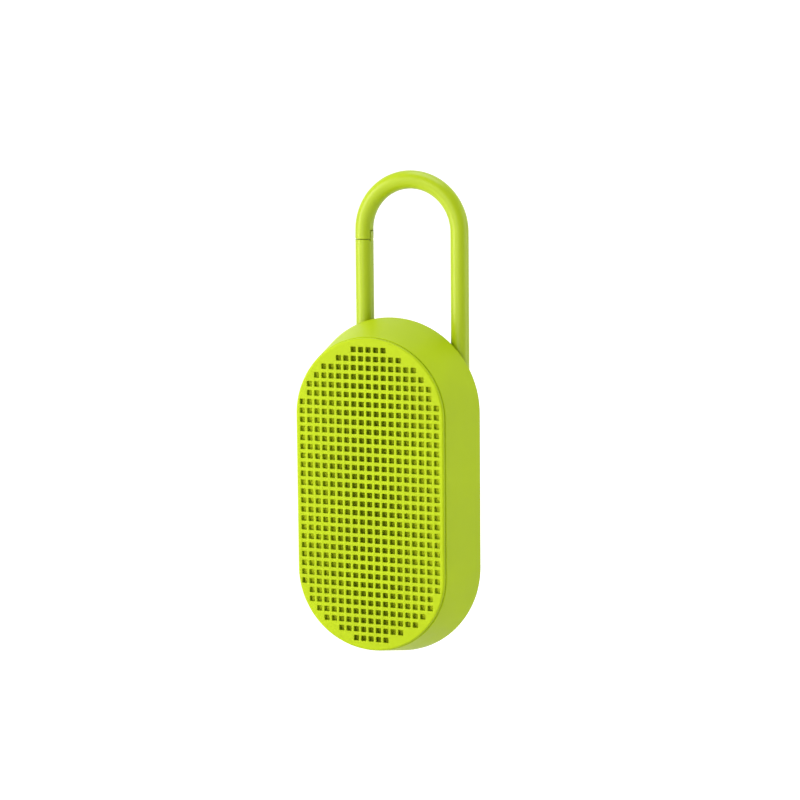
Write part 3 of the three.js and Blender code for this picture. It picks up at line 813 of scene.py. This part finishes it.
def cover():
    """The rounded back, with its screw wells, button hole, port recess and openings for the loop."""
    screw_depth, through, recess_depth = REAR_WALL + MM, 5 * MM, 1.25 * MM
    tools = [cover_room()]
    for i in REAR_SCREWS:
        tools.append(drilled(f"rear_screw_{i}", screw_depth, None, 48, 0.3 * MM))
    tools.append(drilled("power_button", through, None, 96, 0.2 * MM - MM))
    tools.append(drilled("light_pipe", through, MM, 32))
    tools.append(drilled("microphone", through, 0.6 * MM, 24))
    spare = 0.25 * MM
    recess = around(*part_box("port_cover"), spare, 1.6 * MM, 0.7 * MM)
    slot = around(*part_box("usb_socket"), spare, 1.2 * MM)
    tools.append(prism(recess, "y", -recess_depth, MM))
    tools.append(prism(slot, "y", -through, MM))
    reach = ROD_R + SLOT_GAP
    above = 60 * MM
    gate_slot = capsule(GATE_X, GATE_X + GATE_SLOT_REACH, LOOP_Y, reach)
    tools.append(prism(circle(reach, SPINE_X, LOOP_Y), "z", SHOULDER_Z, above))
    tools.append(prism(gate_slot, "z", 40 * MM, above))
    shell = cover_shell()
    soften(cut(shell, tools), 0.18 * MM)
    finish_piece(shell, "shell_lime", "case", "rear_cover")


def cross_outline(x, z, arm, half):
    """A plus sign round a point: one arm's three corners, turned by quarters."""
    corners = [(arm, -half), (arm, half), (half, half)]
    points = []
    for _ in range(4):
        points += [(x + px, z + pz) for px, pz in corners]
        corners = [(-pz, px) for px, pz in corners]
    return points


def screw(index):
    """A pan head with a cross recess."""
    low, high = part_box(f"rear_screw_{index}")
    x, z = middle(low.x, high.x), middle(low.z, high.z)
    radius = (high.x - low.x) / 2
    shank_r = MM
    seat = high.y - 2.2 * MM
    corners = [
        (0, high.y),
        (radius, high.y),
        (radius, seat),
        (shank_r, seat),
        (shank_r, low.y),
        (0, low.y),
    ]
    outline = fillet(corners, [0, 0.7 * MM, 0.1 * MM, 0.2 * MM, 0.3 * MM, 0], closed=False)
    made = turned(f"cover_screw_{index}", outline, x, z, 48)
    cross = cross_outline(x, z, 1.35 * MM, 0.32 * MM)
    tool = prism(cross, "y", high.y - 1.1 * MM, high.y + MM)
    soften(cut(made, [tool]), 0.06 * MM, 2)
    finish_piece(made, "steel", "case", f"rear_screw_{index}")


# ---- carabiner ----------------------------------------------------------------------------
def rod_mesh(name, path, sides=40):
    """A round rod in the loop's plane, along (x, z, direction angle) points."""
    depth = Vector((0, 1, 0))
    turns = [2 * math.pi * i / sides for i in range(sides)]
    rings = []
    for x, z, angle in path:
        side = Vector((-math.sin(angle), 0, math.cos(angle)))
        ring = []
        for turn in turns:
            offset = side * math.cos(turn) * ROD_R + depth * math.sin(turn) * ROD_R
            ring.append(Vector((x, LOOP_Y, z)) + offset)
        rings.append(ring)
    return ring_solid(name, rings, capped=True)


def straight(x, z0, z1, steps):
    direction = math.copysign(math.pi / 2, z1 - z0)
    return [(x, z0 + (z1 - z0) * i / steps, direction) for i in range(steps + 1)]


def over_the_top(steps=72):
    points = []
    for i in range(1, steps):
        angle = math.pi * i / steps
        x = LOOP_X + LOOP_R * math.cos(angle)
        z = LOOP_ARC_Z + LOOP_R * math.sin(angle)
        points.append((x, z, angle + math.pi / 2))
    return points


def carabiner_spine():
    """The fixed rod: up the right leg, over the top and down to the nose."""
    path = straight(SPINE_X, SHOULDER_Z, LOOP_ARC_Z, 12)
    path += over_the_top()
    path += straight(GATE_X, LOOP_ARC_Z, NOSE_Z, 2)
    made = rod_mesh("loop_rod", path)
    half = 1.2 * MM
    slot = rectangle(GATE_X - 1.8 * MM, GATE_X + 5 * MM, LOOP_Y - half, LOOP_Y + half)
    spigot = circle(1.6 * MM, SPINE_X, LOOP_Y, 32)
    cut(made, [prism(spigot, "z", SPINE_LOW.z, SHOULDER_Z + MM)], "UNION")
    cut(made, [prism(slot, "z", NOSE_Z - MM, NOSE_Z + 2.65 * MM)])
    soften(made, 0.22 * MM)
    finish_piece(made, "rod_lime", "case", "carabiner_spine")


def carabiner_gate():
    """The sprung leg: a round rod with a tongue for the nose and an eye for the pin."""
    foot = PIVOT_Z + 2.5 * MM
    inner_x = GATE_X + ROD_R
    aside = 5 * MM
    made = rod_mesh("gate_rod", straight(GATE_X, foot, GATE_TOP_Z, 8))
    bevel = [
        (inner_x - 1.1 * MM, GATE_TOP_Z + MM),
        (inner_x + MM, GATE_TOP_Z + MM),
        (inner_x + MM, GATE_TOP_Z - 1.5 * MM),
        (inner_x - 0.1 * MM, GATE_TOP_Z - 1.2 * MM),
    ]
    cut(made, [prism(bevel, "y", LOOP_Y - aside, LOOP_Y + aside)])
    tongue_x = (GATE_X - 1.3 * MM, GATE_X + 2.6 * MM)
    tongue = rectangle(*tongue_x, GATE_TOP_Z - MM, NOSE_Z + 2.4 * MM, 0.5 * MM)
    eye_r, pin_hole_r = 2.4 * MM, 1.3 * MM
    blade = rectangle(GATE_X - eye_r, GATE_X + eye_r, PIVOT_Z, foot + 0.3 * MM)
    blade_y = (LOOP_Y - 1.6 * MM, LOOP_Y + 1.8 * MM)
    parts = [
        prism(tongue, "y", LOOP_Y - 0.8 * MM, LOOP_Y + 0.8 * MM),
        prism(blade, "y", *blade_y),
        prism(circle(eye_r, GATE_X, PIVOT_Z), "y", *blade_y),
    ]
    for part in parts:
        cut(made, [part], "UNION")
    pin_hole = circle(pin_hole_r, GATE_X, PIVOT_Z, 32)
    cut(made, [prism(pin_hole, "y", LOOP_Y - aside, LOOP_Y + aside)])
    soften(made, 0.2 * MM)
    finish_piece(made, "rod_lime", "gate", "carabiner_gate")


# ---- controls -----------------------------------------------------------------------------
def power_button():
    """A dished silicone button with a raised ring and a flange behind the cover."""
    low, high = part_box("power_button")
    top = high.y
    flange_r = (high.x - low.x) / 2
    cap_r = flange_r - MM
    stem_r = 1.5 * MM
    flange_back = top - 3.1 * MM
    corners = [
        (0, top - 0.35 * MM),
        (cap_r * 0.62, top - 0.25 * MM),
        (cap_r * 0.66, top - 0.02 * MM),
        (cap_r * 0.74, top - 0.02 * MM),
        (cap_r * 0.78, top - 0.18 * MM),
        (cap_r, top - 0.1 * MM),
        (cap_r, top - 2.3 * MM),
        (flange_r, top - 2.35 * MM),
        (flange_r, flange_back),
        (stem_r, flange_back),
        (stem_r, low.y),
        (0, low.y),
    ]
    roundings = [0.1 * MM] * len(corners)
    roundings[5] = 0.4 * MM
    roundings[6] = 0.05 * MM
    outline = fillet(corners, roundings, 4, closed=False)
    made = turned("button_cap", outline, 0, middle(low.z, high.z), 96)
    mark_sharp(made.data, 60)
    finish_piece(made, "soft_lime", "button", "power_button")


def port_cover():
    """The rubber flap over the charging port, with its hinge bead, plug and thumb lip."""
    low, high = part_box("port_cover")
    socket_low, socket_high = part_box("usb_socket")
    bead_r = 0.45 * MM
    hinge_z = high.z - bead_r
    plate = rectangle(low.x, high.x, low.z, hinge_z, 1.4 * MM)
    made = prism(plate, "y", -0.95 * MM, -0.25 * MM, "port_flap")
    bead = circle(bead_r, -0.55 * MM, hinge_z, 24)
    lip_half, plug_half = 3 * MM, 3.7 * MM
    lip = rectangle(-lip_half, lip_half, low.z + 0.5 * MM, low.z + 1.3 * MM, 0.35 * MM)
    port_z = middle(socket_low.z, socket_high.z)
    plug = rectangle(-plug_half, plug_half, port_z - 0.8 * MM, port_z + 0.8 * MM, 0.75 * MM)
    parts = [
        prism(bead, "x", low.x + 0.2 * MM, high.x - 0.2 * MM),
        prism(lip, "y", -0.6 * MM, -0.1 * MM),
        prism(plug, "y", low.y, -0.8 * MM),
    ]
    for part in parts:
        cut(made, [part], "UNION")
    soften(made, 0.12 * MM)
    finish_piece(made, "soft_lime", "port_flap", "port_cover")


# ---- making -------------------------------------------------------------------------------
make_camera()
make_studio()
make_materials()
make_floor()
dress_cad_nodes()
grille()
cloth()
housing()
baffle()
cover()
for number in REAR_SCREWS:
    screw(number)
carabiner_spine()
carabiner_gate()
power_button()
port_cover()
